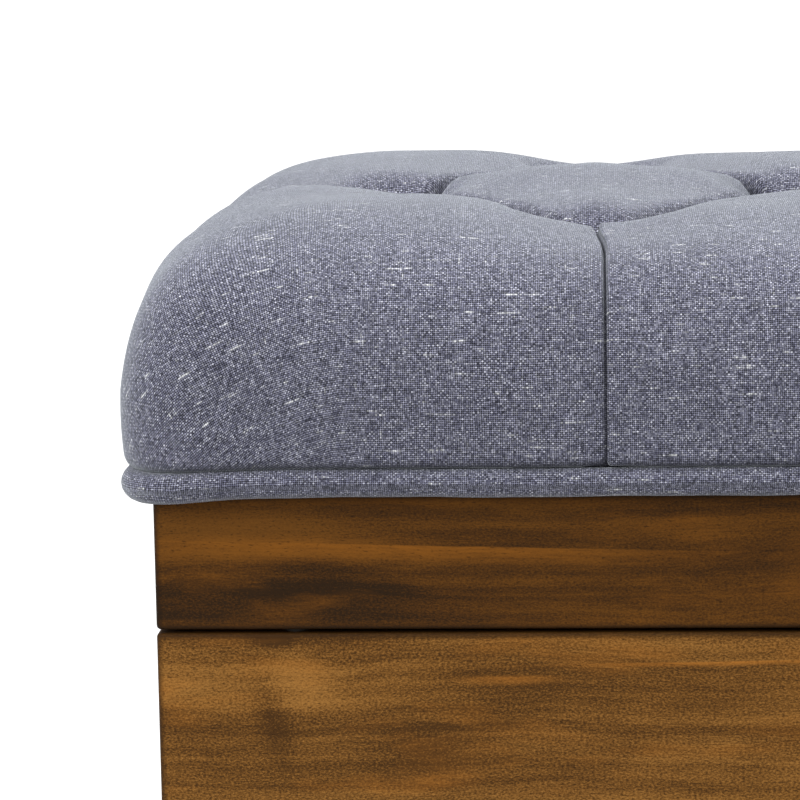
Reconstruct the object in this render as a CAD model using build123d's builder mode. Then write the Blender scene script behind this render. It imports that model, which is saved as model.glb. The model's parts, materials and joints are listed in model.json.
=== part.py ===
from build123d import *
import math
import os

# Upholstered storage bench: a plain wooden box on glides, and a hinged lid made of a wooden
# apron frame, a seat board and a deep-tufted cushion with a welt round its lower edge.
# Frame: +X to the bench's right, front faces -Y, +Z up, origin on the floor under its centre.
# All sizes are in millimetres.

# ---- box ----
box_width = 1070.0
box_depth = 420.0
box_height = 300.0
panel = 18.0                # thickness of the box panels and of the lid rails
corner_round = 2.0          # eased vertical corners
top_round = 1.5             # eased top edge of the box
post = 36.0                 # square corner posts
post_drop = 6.0             # the posts stop this far below the panels' top edge
cleat = 20.0                # width of every cleat
bottom_cleat_low = 4.0      # the bottom cleats start this far above the panels' lower edge
bottom_cleat_tall = 30.0
bottom_sheet = 9.0
brace = 24.0                # width of the brace under the bottom panel

# ---- floor glides ----
glide_radius = 12.0
glide_height = 6.0
nail_radius = 1.2
nail_head_radius = 4.0
nail_head = 1.0
nail_recess = 2.0
nail_length = 18.0

# ---- lid frame ----
lid_gap = 1.5
apron_height = 54.0
apron_round = 1.8           # eased lower edge of the lid rails
lid_cleat_tall = 24.0
bumper_radius = 5.0
bumper_clearance = 0.1
dowel_radius = 4.0
dowel_length = 30.0
dowel_depth_in_rail = 12.0
dowel_spread = 24.0

# ---- upholstery ----
cover = 1.0                 # cover fabric with its backing
board = 12.0
board_corner = 30.0
welt_radius = 6.0
cushion_height = 101.0      # from the top of the welt to the crown
cushion_round = 80.0        # how far the upper edges roll over
cushion_side = 12.6         # how far the cushion overhangs the box on every side
flange = 25.0               # how far the cover is turned in under the board
tuft_pitch = 180.0
row_pitch = 115.0
tuft_depth = 34.0           # from the crown to the top of a button
pit_mouth = 42.0
button_radius = 11.5
button_height = 7.0
twine_radius = 1.0
twine_hole = 4.0
washer_radius = 10.0
washer = 1.5
knot_radius = 2.5
lining = 0.6
lining_inset = 4.0

# ---- fasteners ----
screw_radius = 1.75
head_radius = 3.5
head_depth = 2.0
recess_length = 4.0
recess_width = 0.9
recess_depth = 1.2
staple_wire = 0.6
staple_crown = 10.0
staple_leg = 7.0
staple_pitch = 60.0

# ---- hinges ----
hinge_places = (-380.0, 0.0, 380.0)
hinge_length = 76.0
hinge_offset = 5.0          # from the box's back face to the hinge axis
knuckle_radius = 4.5
knuckle_count = 5
knuckle_gap = 0.9
friction_washer = 0.8
leaf = 2.0
leaf_height = 30.0
leaf_start = 5.2            # the plates begin this far from the axis
pin_radius = 2.0
pin_clearance = 0.05
pin_head_radius = 3.2
pin_head = 1.5
hinge_screw_length = 15.0
hinge_screw_places = (-26.0, 0.0, 26.0)

# ---- heights ----
box_low = glide_height
box_top = box_low + box_height
lid_low = box_top + lid_gap
frame_top = lid_low + apron_height
board_low = frame_top + cover
board_top = board_low + board
welt_level = frame_top + welt_radius
cushion_low = frame_top + 2 * welt_radius
crown = cushion_low + cushion_height
sheet_low = box_low + bottom_cleat_low + bottom_cleat_tall
sheet_top = sheet_low + bottom_sheet
cleat_low = box_low + bottom_cleat_low
lid_cleat_low = frame_top - lid_cleat_tall
button_top = crown - tuft_depth
button_low = button_top - button_height
axis_level = box_top + lid_gap / 2

# ---- plan positions ----
half_width = box_width / 2
half_depth = box_depth / 2
inner_x = half_width - panel
inner_y = half_depth - panel
axis_y = half_depth + hinge_offset
cleat_x = inner_x - cleat / 2
cleat_y = inner_y - cleat / 2

left_right = ((-1, "left"), (1, "right"))
front_back = ((-1, "front"), (1, "back"))

os.makedirs("parts", exist_ok=True)


def save(piece, name):
    """Label a finished piece and write it out."""
    piece.label = name
    export_step(piece, f"parts/{name}.step")


def facing(x, y, z, direction):
    """A workplane at a point, with its normal along the given direction."""
    return Plane(origin=(x, y, z), z_dir=direction)


def screw_group(planes, length):
    """Countersunk cross-head screws, each driven in against its plane's normal."""
    with BuildPart() as screws:
        with Locations(*planes):
            Cylinder(screw_radius, length, align=(Align.CENTER, Align.CENTER, Align.MAX))
            Cone(screw_radius, head_radius, head_depth, align=(Align.CENTER, Align.CENTER, Align.MAX))
            for turn in (0, 90):
                Box(recess_length, recess_width, recess_depth, rotation=(0, 0, turn),
                    align=(Align.CENTER, Align.CENTER, Align.MAX), mode=Mode.SUBTRACT)
    return screws.part


def cut_screw_holes(planes, length):
    """Inside a part: the holes that screw_group's screws fill."""
    with Locations(*planes):
        Cylinder(screw_radius, length, align=(Align.CENTER, Align.CENTER, Align.MAX), mode=Mode.SUBTRACT)
        Cone(screw_radius, head_radius, head_depth,
             align=(Align.CENTER, Align.CENTER, Align.MAX), mode=Mode.SUBTRACT)


def staple_group(spots, level):
    """Staples driven upwards: each spot is x, y and the crown's turn; the crown's underside is at level."""
    leg_shift = (staple_crown - staple_wire) / 2
    with BuildPart() as staples:
        for x, y, turn in spots:
            with Locations(Location((x, y, level), (0, 0, turn))):
                Box(staple_crown, staple_wire, staple_wire, align=(Align.CENTER, Align.CENTER, Align.MIN))
                with Locations((-leg_shift, 0), (leg_shift, 0)):
                    Box(staple_wire, staple_wire, staple_leg, align=(Align.CENTER, Align.CENTER, Align.MIN))
    return staples.part


def staple_spots(reach_x, reach_y):
    """Evenly spaced staple places round a rectangle, with the crowns along its sides."""
    along_x = int(2 * reach_x / staple_pitch)
    along_y = int(2 * reach_y / staple_pitch)
    spots = []
    for i in range(along_x):
        x = (i - (along_x - 1) / 2) * staple_pitch
        spots += [(x, -reach_y, 0), (x, reach_y, 0)]
    for i in range(along_y):
        y = (i - (along_y - 1) / 2) * staple_pitch
        spots += [(-reach_x, y, 90), (reach_x, y, 90)]
    return spots


# =====================================================================  fastener places

post_screw_length = post + 12.0
post_screws = []
for sx, _ in left_right:
    for sy, _ in front_back:
        near_x, near_y = sx * (inner_x - post), sy * (inner_y - post)
        middle_x, middle_y = sx * (inner_x - post / 2), sy * (inner_y - post / 2)
        for level in (box_low + 70.0, box_low + 230.0):
            post_screws.append(facing(near_x, middle_y, level, (-sx, 0, 0)))
            post_screws.append(facing(middle_x, near_y, level + 30.0, (0, -sy, 0)))

cleat_screw_length = cleat + 12.0
cleat_middle = cleat_low + bottom_cleat_tall / 2
bottom_cleat_screws = []
for sy, _ in front_back:
    for x in (-360.0, -120.0, 120.0, 360.0):
        bottom_cleat_screws.append(facing(x, sy * (inner_y - cleat), cleat_middle, (0, -sy, 0)))
for sx, _ in left_right:
    for y in (-100.0, 100.0):
        bottom_cleat_screws.append(facing(sx * (inner_x - cleat), y, cleat_middle, (-sx, 0, 0)))

bottom_screw_length = 25.0
bottom_screws = []
for sy, _ in front_back:
    for x in (-420.0, -210.0, 0.0, 210.0, 420.0):
        bottom_screws.append(facing(x, sy * cleat_y, sheet_top, (0, 0, 1)))
for sx, _ in left_right:
    bottom_screws.append(facing(sx * cleat_x, 0, sheet_top, (0, 0, 1)))

lid_cleat_middle = lid_cleat_low + lid_cleat_tall / 2
rail_screws = []
for sy, _ in front_back:
    for x in (-345.0, -115.0, 115.0, 345.0):
        rail_screws.append(facing(x, sy * (inner_y - cleat), lid_cleat_middle, (0, -sy, 0)))
for sx, _ in left_right:
    for y in (-110.0, 110.0):
        rail_screws.append(facing(sx * (inner_x - cleat), y, lid_cleat_middle, (-sx, 0, 0)))

board_screw_length = lid_cleat_tall + cover + 10.0
board_screws = []
for sy, _ in front_back:
    for x in (-460.0, -230.0, 0.0, 230.0, 460.0):
        board_screws.append(facing(x, sy * cleat_y, lid_cleat_low, (0, 0, -1)))
for sx, _ in left_right:
    for y in (-55.0, 55.0):
        board_screws.append(facing(sx * cleat_x, y, lid_cleat_low, (0, 0, -1)))

screw_reach = leaf_start + leaf_height / 2
hinge_box_screws = []
hinge_lid_screws = []
for hinge_x in hinge_places:
    for shift in hinge_screw_places:
        x = hinge_x + shift
        hinge_box_screws.append(facing(x, half_depth + leaf, axis_level - screw_reach, (0, 1, 0)))
        hinge_lid_screws.append(facing(x, half_depth + leaf, axis_level + screw_reach, (0, 1, 0)))

dowel_planes = []
for sx, _ in left_right:
    for sy, _ in front_back:
        for lift in (-dowel_spread / 2, dowel_spread / 2):
            start_y = sy * (inner_y + dowel_depth_in_rail)
            level = lid_low + apron_height / 2 + lift
            dowel_planes.append(facing(sx * (half_width - panel / 2), start_y, level, (0, sy, 0)))

tuft_spots = [(step * tuft_pitch, sy * row_pitch) for sy, _ in front_back for step in range(-2, 3)]
tuft_spots += [((step + 0.5) * tuft_pitch, 0.0) for step in range(-3, 3)]

glide_spots = [(sx * (inner_x - post / 2), sy * (inner_y - post / 2))
               for sx, _ in left_right for sy, _ in front_back]

bumper_spots = [(x, -(half_depth - panel / 2)) for x in (-480.0, 0.0, 480.0)]
bumper_spots += [(x, half_depth - panel / 2) for x in (-480.0, 480.0)]

cover_staple_spots = staple_spots(half_width - flange + 3.5, half_depth - flange + 3.5)
lining_staple_spots = staple_spots(cleat_x, cleat_y)
# the lining's staples miss the board screws, which are driven up through the same cleats
lining_staple_spots = [spot for spot in lining_staple_spots
                       if all(math.dist(spot[:2], (hole.origin.X, hole.origin.Y)) > staple_crown
                              for hole in board_screws)]


# =====================================================================  box

for sy, name in front_back:
    with BuildPart() as long_panel:
        with BuildSketch(Plane.XY.offset(box_low)):
            with Locations((0, sy * (half_depth - panel / 2))):
                Rectangle(box_width, panel)
        extrude(amount=box_height)
        outer = long_panel.edges().filter_by(Axis.Z).group_by(Axis.Y)[0 if sy < 0 else -1]
        fillet(outer, radius=corner_round)
        upper = long_panel.faces().sort_by(Axis.Z)[-1].edges().filter_by(Axis.X)
        fillet(upper.sort_by(Axis.Y)[0 if sy < 0 else -1], radius=top_round)
        cut_screw_holes(post_screws, post_screw_length)
        cut_screw_holes(bottom_cleat_screws, cleat_screw_length)
        if name == "back":
            cut_screw_holes(hinge_box_screws, hinge_screw_length)
    save(long_panel.part, f"{name}_panel")

for sx, name in left_right:
    with BuildPart() as side_panel:
        with BuildSketch(Plane.XY.offset(box_low)):
            with Locations((sx * (half_width - panel / 2), 0)):
                Rectangle(panel, 2 * inner_y)
        extrude(amount=box_height)
        upper = side_panel.faces().sort_by(Axis.Z)[-1].edges().filter_by(Axis.Y)
        fillet(upper.sort_by(Axis.X)[0 if sx < 0 else -1], radius=top_round)
        cut_screw_holes(post_screws, post_screw_length)
        cut_screw_holes(bottom_cleat_screws, cleat_screw_length)
    save(side_panel.part, f"{name}_side_panel")

for sx, side in left_right:
    for sy, end in front_back:
        with BuildPart() as corner_post:
            with BuildSketch(Plane.XY.offset(box_low)):
                with Locations((sx * (inner_x - post / 2), sy * (inner_y - post / 2))):
                    Rectangle(post, post)
            extrude(amount=box_height - post_drop)
            chamfer(corner_post.faces().sort_by(Axis.Z)[-1].edges(), length=1.0)
            cut_screw_holes(post_screws, post_screw_length)
            with Locations(*[(x, y, box_low) for x, y in glide_spots]):
                Cylinder(nail_radius, nail_length, mode=Mode.SUBTRACT,
                         align=(Align.CENTER, Align.CENTER, Align.MIN))
        save(corner_post.part, f"{end}_{side}_post")

for sy, name in front_back:
    with BuildPart() as long_cleat:
        with BuildSketch(Plane.XY.offset(cleat_low)):
            with Locations((0, sy * cleat_y)):
                Rectangle(2 * (inner_x - post), cleat)
        extrude(amount=bottom_cleat_tall)
        cut_screw_holes(bottom_cleat_screws, cleat_screw_length)
        cut_screw_holes(bottom_screws, bottom_screw_length)
    save(long_cleat.part, f"{name}_bottom_cleat")

for sx, name in left_right:
    with BuildPart() as short_cleat:
        with BuildSketch(Plane.XY.offset(cleat_low)):
            with Locations((sx * cleat_x, 0)):
                Rectangle(cleat, 2 * (inner_y - post))
        extrude(amount=bottom_cleat_tall)
        cut_screw_holes(bottom_cleat_screws, cleat_screw_length)
        cut_screw_holes(bottom_screws, bottom_screw_length)
    save(short_cleat.part, f"{name}_bottom_cleat")

with BuildPart() as bottom_brace:
    with BuildSketch(Plane.XY.offset(cleat_low)):
        Rectangle(brace, 2 * (inner_y - cleat))
    extrude(amount=bottom_cleat_tall)
save(bottom_brace.part, "bottom_brace")

with BuildPart() as bottom_panel:
    with BuildSketch(Plane.XY.offset(sheet_low)):
        Rectangle(2 * inner_x, 2 * inner_y)
        with GridLocations(2 * inner_x - post, 2 * inner_y - post, 2, 2):
            Rectangle(post, post, mode=Mode.SUBTRACT)
    extrude(amount=bottom_sheet)
    cut_screw_holes(bottom_screws, bottom_screw_length)
save(bottom_panel.part, "bottom_panel")

with BuildPart() as floor_glides:
    with BuildSketch():
        with Locations(*glide_spots):
            Circle(glide_radius)
    extrude(amount=glide_height)
    fillet(floor_glides.edges().group_by(Axis.Z)[0], radius=1.5)
    with Locations(*glide_spots):
        Cylinder(nail_head_radius, nail_recess + nail_head, mode=Mode.SUBTRACT,
                 align=(Align.CENTER, Align.CENTER, Align.MIN))
        Cylinder(nail_radius, glide_height, mode=Mode.SUBTRACT,
                 align=(Align.CENTER, Align.CENTER, Align.MIN))
save(floor_glides.part, "floor_glides")

with BuildPart() as glide_nails:
    with Locations(*[(x, y, nail_recess) for x, y in glide_spots]):
        Cylinder(nail_head_radius, nail_head, align=(Align.CENTER, Align.CENTER, Align.MIN))
        Cylinder(nail_radius, box_low + nail_length - nail_recess,
                 align=(Align.CENTER, Align.CENTER, Align.MIN))
save(glide_nails.part, "glide_nails")

with BuildPart() as lid_bumpers:
    with BuildSketch(Plane.XY.offset(box_top)):
        with Locations(*bumper_spots):
            Circle(bumper_radius)
    extrude(amount=lid_gap - bumper_clearance)
    fillet(lid_bumpers.edges().group_by(Axis.Z)[-1], radius=0.6)
save(lid_bumpers.part, "lid_bumpers")

save(screw_group(post_screws, post_screw_length), "post_screws")
save(screw_group(bottom_cleat_screws, cleat_screw_length), "bottom_cleat_screws")
save(screw_group(bottom_screws, bottom_screw_length), "bottom_panel_screws")


# =====================================================================  hinges

knuckle_length = (hinge_length - (knuckle_count - 1) * knuckle_gap) / knuckle_count
knuckle_step = knuckle_length + knuckle_gap


def hinge_leaves(first_knuckle, side, bore):
    """One leaf of each hinge: a plate on the back face, with every other knuckle."""
    starts = [-hinge_length / 2 + i * knuckle_step for i in range(first_knuckle, knuckle_count, 2)]
    plate_middle = axis_level + side * (leaf_start + leaf_height / 2)
    tongue = leaf_start + 1.0
    with BuildPart() as leaves:
        for hinge_x in hinge_places:
            with BuildSketch(Plane.XZ.offset(-half_depth)) as plate:
                with Locations((hinge_x, plate_middle)):
                    RectangleRounded(hinge_length, leaf_height, 2.0)
                for start in starts:
                    middle_x = hinge_x + start + knuckle_length / 2
                    with Locations((middle_x, axis_level + side * tongue / 2)):
                        Rectangle(knuckle_length, tongue)
            extrude(plate.sketch, amount=-leaf)
        for hinge_x in hinge_places:
            for start in starts:
                with BuildSketch(Plane.YZ.offset(hinge_x + start)) as knuckle:
                    with Locations((axis_y, axis_level)):
                        Circle(knuckle_radius)
                extrude(knuckle.sketch, amount=knuckle_length)
            with BuildSketch(Plane.YZ.offset(hinge_x - hinge_length / 2)) as pin_bore:
                with Locations((axis_y, axis_level)):
                    Circle(bore)
            extrude(pin_bore.sketch, amount=hinge_length, mode=Mode.SUBTRACT)
        cut_screw_holes(hinge_box_screws if side < 0 else hinge_lid_screws, hinge_screw_length)
    return leaves.part


save(hinge_leaves(0, -1, pin_radius), "hinge_box_leaves")
save(hinge_leaves(1, 1, pin_radius + pin_clearance), "hinge_lid_leaves")
save(screw_group(hinge_box_screws, hinge_screw_length), "hinge_box_screws")
save(screw_group(hinge_lid_screws, hinge_screw_length), "hinge_lid_screws")

with BuildPart() as hinge_pins:
    for hinge_x in hinge_places:
        with BuildSketch(Plane.YZ.offset(hinge_x - hinge_length / 2)) as shaft:
            with Locations((axis_y, axis_level)):
                Circle(pin_radius)
        extrude(shaft.sketch, amount=hinge_length)
        with BuildSketch(Plane.YZ.offset(hinge_x - hinge_length / 2)) as head:
            with Locations((axis_y, axis_level)):
                Circle(pin_head_radius)
        extrude(head.sketch, amount=-pin_head)
        with BuildSketch(Plane.YZ.offset(hinge_x + hinge_length / 2)) as far_head:
            with Locations((axis_y, axis_level)):
                Circle(pin_head_radius)
        extrude(far_head.sketch, amount=pin_head)
    rims = hinge_pins.edges().filter_by(GeomType.CIRCLE)
    fillet(rims.filter_by(lambda rim: rim.radius > pin_radius and
                          min(abs(abs(rim.center().X - x) - hinge_length / 2 - pin_head)
                              for x in hinge_places) < 0.01), radius=1.0)
save(hinge_pins.part, "hinge_pins")

with BuildPart() as friction_washers:
    for hinge_x in hinge_places:
        for gap in range(1, knuckle_count):
            face_x = hinge_x - hinge_length / 2 + gap * knuckle_step
            # each washer lies against the fixed knuckle beside it
            start_x = face_x - knuckle_gap if gap % 2 else face_x - friction_washer
            with BuildSketch(Plane.YZ.offset(start_x)) as ring:
                with Locations((axis_y, axis_level)):
                    Circle(knuckle_radius - 0.3)
                    Circle(pin_radius, mode=Mode.SUBTRACT)
            extrude(ring.sketch, amount=friction_washer)
save(friction_washers.part, "hinge_friction_washers")


# =====================================================================  lid frame

lining_staples = staple_group(lining_staple_spots, lid_cleat_low - lining - staple_wire)
cover_staples = staple_group(cover_staple_spots, frame_top)
save(lining_staples, "lining_staples")
save(cover_staples, "cover_staples")

with BuildPart() as lid_dowels:
    with Locations(*dowel_planes):
        Cylinder(dowel_radius, dowel_length, align=(Align.CENTER, Align.CENTER, Align.MAX))
save(lid_dowels.part, "lid_dowels")

for sy, name in front_back:
    with BuildPart() as long_rail:
        with BuildSketch(Plane.XY.offset(lid_low)):
            with Locations((0, sy * (half_depth - panel / 2))):
                Rectangle(box_width, panel)
        extrude(amount=apron_height)
        outer = long_rail.edges().filter_by(Axis.Z).group_by(Axis.Y)[0 if sy < 0 else -1]
        fillet(outer, radius=corner_round)
        lower = long_rail.faces().sort_by(Axis.Z)[0].edges().filter_by(Axis.X)
        fillet(lower.sort_by(Axis.Y)[0 if sy < 0 else -1], radius=apron_round)
        cut_screw_holes(rail_screws, cleat_screw_length)
        add(lid_dowels.part, mode=Mode.SUBTRACT)
        if name == "back":
            cut_screw_holes(hinge_lid_screws, hinge_screw_length)
    save(long_rail.part, f"lid_{name}_rail")

for sx, name in left_right:
    with BuildPart() as side_rail:
        with BuildSketch(Plane.XY.offset(lid_low)):
            with Locations((sx * (half_width - panel / 2), 0)):
                Rectangle(panel, 2 * inner_y)
        extrude(amount=apron_height)
        lower = side_rail.faces().sort_by(Axis.Z)[0].edges().filter_by(Axis.Y)
        fillet(lower.sort_by(Axis.X)[0 if sx < 0 else -1], radius=apron_round)
        cut_screw_holes(rail_screws, cleat_screw_length)
        add(lid_dowels.part, mode=Mode.SUBTRACT)
    save(side_rail.part, f"lid_{name}_rail")

for sy, name in front_back:
    with BuildPart() as lid_long_cleat:
        with BuildSketch(Plane.XY.offset(lid_cleat_low)):
            with Locations((0, sy * cleat_y)):
                Rectangle(2 * inner_x, cleat)
        extrude(amount=lid_cleat_tall)
        cut_screw_holes(rail_screws, cleat_screw_length)
        cut_screw_holes(board_screws, board_screw_length)
        add(lining_staples, mode=Mode.SUBTRACT)
    save(lid_long_cleat.part, f"lid_{name}_cleat")

for sx, name in left_right:
    with BuildPart() as lid_short_cleat:
        with BuildSketch(Plane.XY.offset(lid_cleat_low)):
            with Locations((sx * cleat_x, 0)):
                Rectangle(cleat, 2 * (inner_y - cleat))
        extrude(amount=lid_cleat_tall)
        cut_screw_holes(rail_screws, cleat_screw_length)
        cut_screw_holes(board_screws, board_screw_length)
        add(lining_staples, mode=Mode.SUBTRACT)
    save(lid_short_cleat.part, f"lid_{name}_cleat")

save(screw_group(rail_screws, cleat_screw_length), "lid_rail_screws")
save(screw_group(board_screws, board_screw_length), "seat_board_screws")


# =====================================================================  upholstery

def cushion_block(low, inset):
    """The cushion's plain outer form, drawn in by the inset, with a pit over each button."""
    half_x = half_width + cushion_side - inset
    half_y = half_depth + cushion_side - inset
    top = crown - inset
    roll = cushion_round - inset
    with BuildPart() as block:
        with BuildSketch(Plane.XY.offset(low)):
            RectangleRounded(2 * half_x, 2 * half_y, board_corner + cushion_side - inset)
        extrude(amount=top - low)
        with BuildSketch(Plane.XZ.offset(-half_y)) as end_roll:
            with Locations((0, (low + top) / 2)):
                Rectangle(2 * half_x, top - low)
            fillet(end_roll.vertices().group_by(Axis.Y)[-1], radius=roll)
        extrude(end_roll.sketch, amount=2 * half_y, mode=Mode.INTERSECT)
        with BuildSketch(Plane.YZ.offset(-half_x)) as front_roll:
            with Locations((0, (low + top) / 2)):
                Rectangle(2 * half_y, top - low)
            fillet(front_roll.vertices().group_by(Axis.Y)[-1], radius=roll)
        extrude(front_roll.sketch, amount=2 * half_x, mode=Mode.INTERSECT)
        pit_floor = button_low - inset
        with Locations(*[(x, y, pit_floor) for x, y in tuft_spots]):
            Cone(button_radius + inset, pit_mouth, top - pit_floor, mode=Mode.SUBTRACT,
                 align=(Align.CENTER, Align.CENTER, Align.MIN))
            Cylinder(twine_radius, top - low, mode=Mode.SUBTRACT,
                     align=(Align.CENTER, Align.CENTER, Align.MAX))
    return block.part


with BuildPart() as seat_board:
    with BuildSketch(Plane.XY.offset(board_low)):
        RectangleRounded(box_width, box_depth, board_corner)
        with Locations(*tuft_spots):
            Circle(twine_hole, mode=Mode.SUBTRACT)
    extrude(amount=board)
    cut_screw_holes(board_screws, board_screw_length)
    add(cover_staples, mode=Mode.SUBTRACT)
save(seat_board.part, "seat_board")

seat_foam = cushion_block(board_top, cover)
save(seat_foam, "seat_foam")

cushion_outside = cushion_block(cushion_low, 0.0)
with BuildPart() as seat_cover:
    with BuildSketch(Plane.XY.offset(frame_top)):
        RectangleRounded(box_width + 2 * cover, box_depth + 2 * cover, board_corner + cover)
    extrude(amount=cushion_low - frame_top)
    add(cushion_outside)
    add(seat_foam, mode=Mode.SUBTRACT)
    with BuildSketch(Plane.XY.offset(board_low)) as board_space:
        RectangleRounded(box_width, box_depth, board_corner)
    extrude(board_space.sketch, amount=board, mode=Mode.SUBTRACT)
    with BuildSketch(Plane.XY.offset(frame_top)) as underside:
        RectangleRounded(box_width - 2 * flange, box_depth - 2 * flange, board_corner)
    extrude(underside.sketch, amount=cover, mode=Mode.SUBTRACT)
    add(cover_staples, mode=Mode.SUBTRACT)
save(seat_cover.part, "seat_cover")

with BuildPart() as welt:
    welt_x = half_width + cover + welt_radius
    welt_y = half_depth + cover + welt_radius
    bend = board_corner + cover + welt_radius
    straight_x = welt_x - bend
    straight_y = welt_y - bend
    with BuildSketch(Plane.YZ.offset(-straight_x)) as long_section:
        with Locations((-welt_y, welt_level), (welt_y, welt_level)):
            Circle(welt_radius)
    extrude(long_section.sketch, amount=2 * straight_x)
    with BuildSketch(Plane.XZ.offset(-straight_y)) as short_section:
        with Locations((-welt_x, welt_level), (welt_x, welt_level)):
            Circle(welt_radius)
    extrude(short_section.sketch, amount=2 * straight_y)
    for sx, _ in left_right:
        for sy, _ in front_back:
            with BuildSketch(Plane.YZ.offset(sx * straight_x)) as corner_section:
                with Locations((sy * welt_y, welt_level)):
                    Circle(welt_radius)
            pivot = Axis((sx * straight_x, sy * straight_y, 0), (0, 0, 1))
            revolve(corner_section.sketch, axis=pivot, revolution_arc=-90 * sx * sy)
save(welt.part, "welt")

with BuildPart() as tuft_buttons:
    with BuildSketch(Plane.XY.offset(button_low)):
        with Locations(*tuft_spots):
            Circle(button_radius)
    extrude(amount=button_height)
    fillet(tuft_buttons.edges().group_by(Axis.Z)[-1], radius=3.5)
save(tuft_buttons.part, "tuft_buttons")

with BuildPart() as tuft_washers:
    with BuildSketch(Plane.XY.offset(board_low - washer)):
        with Locations(*tuft_spots):
            Circle(washer_radius)
            Circle(twine_radius, mode=Mode.SUBTRACT)
    extrude(amount=washer)
save(tuft_washers.part, "tuft_washers")

with BuildPart() as tuft_cords:
    with Locations(*[(x, y, board_low - washer) for x, y in tuft_spots]):
        Cylinder(twine_radius, button_low - board_low + washer,
                 align=(Align.CENTER, Align.CENTER, Align.MIN))
        Cylinder(knot_radius, 2 * knot_radius, align=(Align.CENTER, Align.CENTER, Align.MAX))
save(tuft_cords.part, "tuft_cords")

with BuildPart() as lid_lining:
    with BuildSketch(Plane.XY.offset(lid_cleat_low - lining)):
        Rectangle(2 * (inner_x - lining_inset), 2 * (inner_y - lining_inset))
    extrude(amount=lining)
    add(lining_staples, mode=Mode.SUBTRACT)
save(lid_lining.part, "lid_lining")
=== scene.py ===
"""The looks of an upholstered storage bench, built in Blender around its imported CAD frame."""
import json
import math

import bmesh
import bpy
import numpy as np
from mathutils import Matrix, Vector


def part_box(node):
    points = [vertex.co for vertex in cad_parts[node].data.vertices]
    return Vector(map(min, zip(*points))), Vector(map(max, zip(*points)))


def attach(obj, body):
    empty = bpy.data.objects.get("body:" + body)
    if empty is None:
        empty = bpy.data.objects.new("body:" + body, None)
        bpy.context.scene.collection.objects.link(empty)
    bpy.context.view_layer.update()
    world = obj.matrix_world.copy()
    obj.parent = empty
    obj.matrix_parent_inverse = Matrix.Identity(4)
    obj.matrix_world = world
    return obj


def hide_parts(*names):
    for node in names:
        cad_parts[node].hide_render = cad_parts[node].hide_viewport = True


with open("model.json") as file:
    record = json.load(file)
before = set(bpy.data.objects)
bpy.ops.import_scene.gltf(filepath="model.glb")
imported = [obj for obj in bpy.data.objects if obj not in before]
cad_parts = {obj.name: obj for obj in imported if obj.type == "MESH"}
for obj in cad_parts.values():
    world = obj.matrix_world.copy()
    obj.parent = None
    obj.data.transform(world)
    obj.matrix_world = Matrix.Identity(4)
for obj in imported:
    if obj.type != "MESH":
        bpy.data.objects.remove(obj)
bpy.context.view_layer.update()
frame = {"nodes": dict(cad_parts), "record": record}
MM = 0.001

# =====================================================================  places read from the frame

cover_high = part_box("seat_cover")[1]
welt_low, welt_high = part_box("welt")
board_low, board_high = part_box("seat_board")
button_low, button_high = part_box("tuft_buttons")
rail_low, rail_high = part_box("lid_front_rail")

half_x = cover_high[0]              # the cushion's widest half sizes
half_y = cover_high[1]
crown = cover_high[2]
side_low = welt_high[2]             # the cushion's side rises from the top of the welt
button_radius = 11.5 * MM
button_top = button_high[2]

# the tufting: two outer rows of five buttons and a middle row of six, staggered
end_x = button_high[0] - button_radius
row_y = button_high[1] - button_radius
pitch = end_x / 2.5
outer_row = [step * pitch for step in range(-2, 3)]
middle_row = [(step + 0.5) * pitch for step in range(-3, 3)]
buttons = [(x, y) for y in (-row_y, row_y) for x in outer_row] + [(x, 0.0) for x in middle_row]


# =====================================================================  small mesh helpers

def new_object(name, verts, faces, smooth=True):
    """A mesh object from points and faces, with its normals facing out."""
    mesh = bpy.data.meshes.new(name)
    mesh.from_pydata([tuple(v) for v in verts], [], faces)
    tidy = bmesh.new()
    tidy.from_mesh(mesh)
    bmesh.ops.recalc_face_normals(tidy, faces=tidy.faces)
    tidy.to_mesh(mesh)
    tidy.free()
    for polygon in mesh.polygons:
        polygon.use_smooth = smooth
    piece = bpy.data.objects.new(name, mesh)
    bpy.context.scene.collection.objects.link(piece)
    return piece


# =====================================================================  the cushion's form

ROLL = 98 * MM                      # how far the upper edge rolls over, seen from above
SIDE_TURN = 28 * MM                 # height above the welt where the side is widest
FULLNESS = {"end": 2.85, "long": 2.2}  # exponents of the roll's superellipse
SIDE_LEAN = 1.4 * MM                # how far the side leans in towards the welt
CORNER_DROOP = 2.8 * MM             # how far the welt hangs lower at the corners
CORNER = 30 * MM                    # plan radius of the cushion's corners at its widest
TUCK = 1.6 * MM                     # how far the side turns in just above the welt
BULGE = 1.0 * MM                    # how far the soft side stands past its nominal width
core_x = half_x + BULGE - ROLL
core_y = half_y - ROLL


def roll_profile(fullness):
    """The section from the flat top to the welt: arc length, outward reach and height."""
    turn = np.linspace(0, math.pi / 2, 240)
    rise = crown - side_low - SIDE_TURN
    reach = ROLL * np.sin(turn) ** (2 / fullness)
    height = side_low + SIDE_TURN + rise * np.cos(turn) ** (2 / fullness)
    drop = np.linspace(0, 1, 120)[1:]
    side_reach = ROLL - SIDE_LEAN * drop ** 2 - TUCK * np.clip((drop - 0.86) / 0.14, 0, 1) ** 2
    side_height = side_low + SIDE_TURN * (1 - drop)
    reach = np.concatenate([reach, side_reach])
    height = np.concatenate([height, side_height])
    length = np.concatenate([[0], np.cumsum(np.hypot(np.diff(reach), np.diff(height)))])
    return length, reach, height


end_profile, long_profile = roll_profile(FULLNESS["end"]), roll_profile(FULLNESS["long"])
full_length = long_profile[0][-1]
roll_length = long_profile[0][239]


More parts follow.
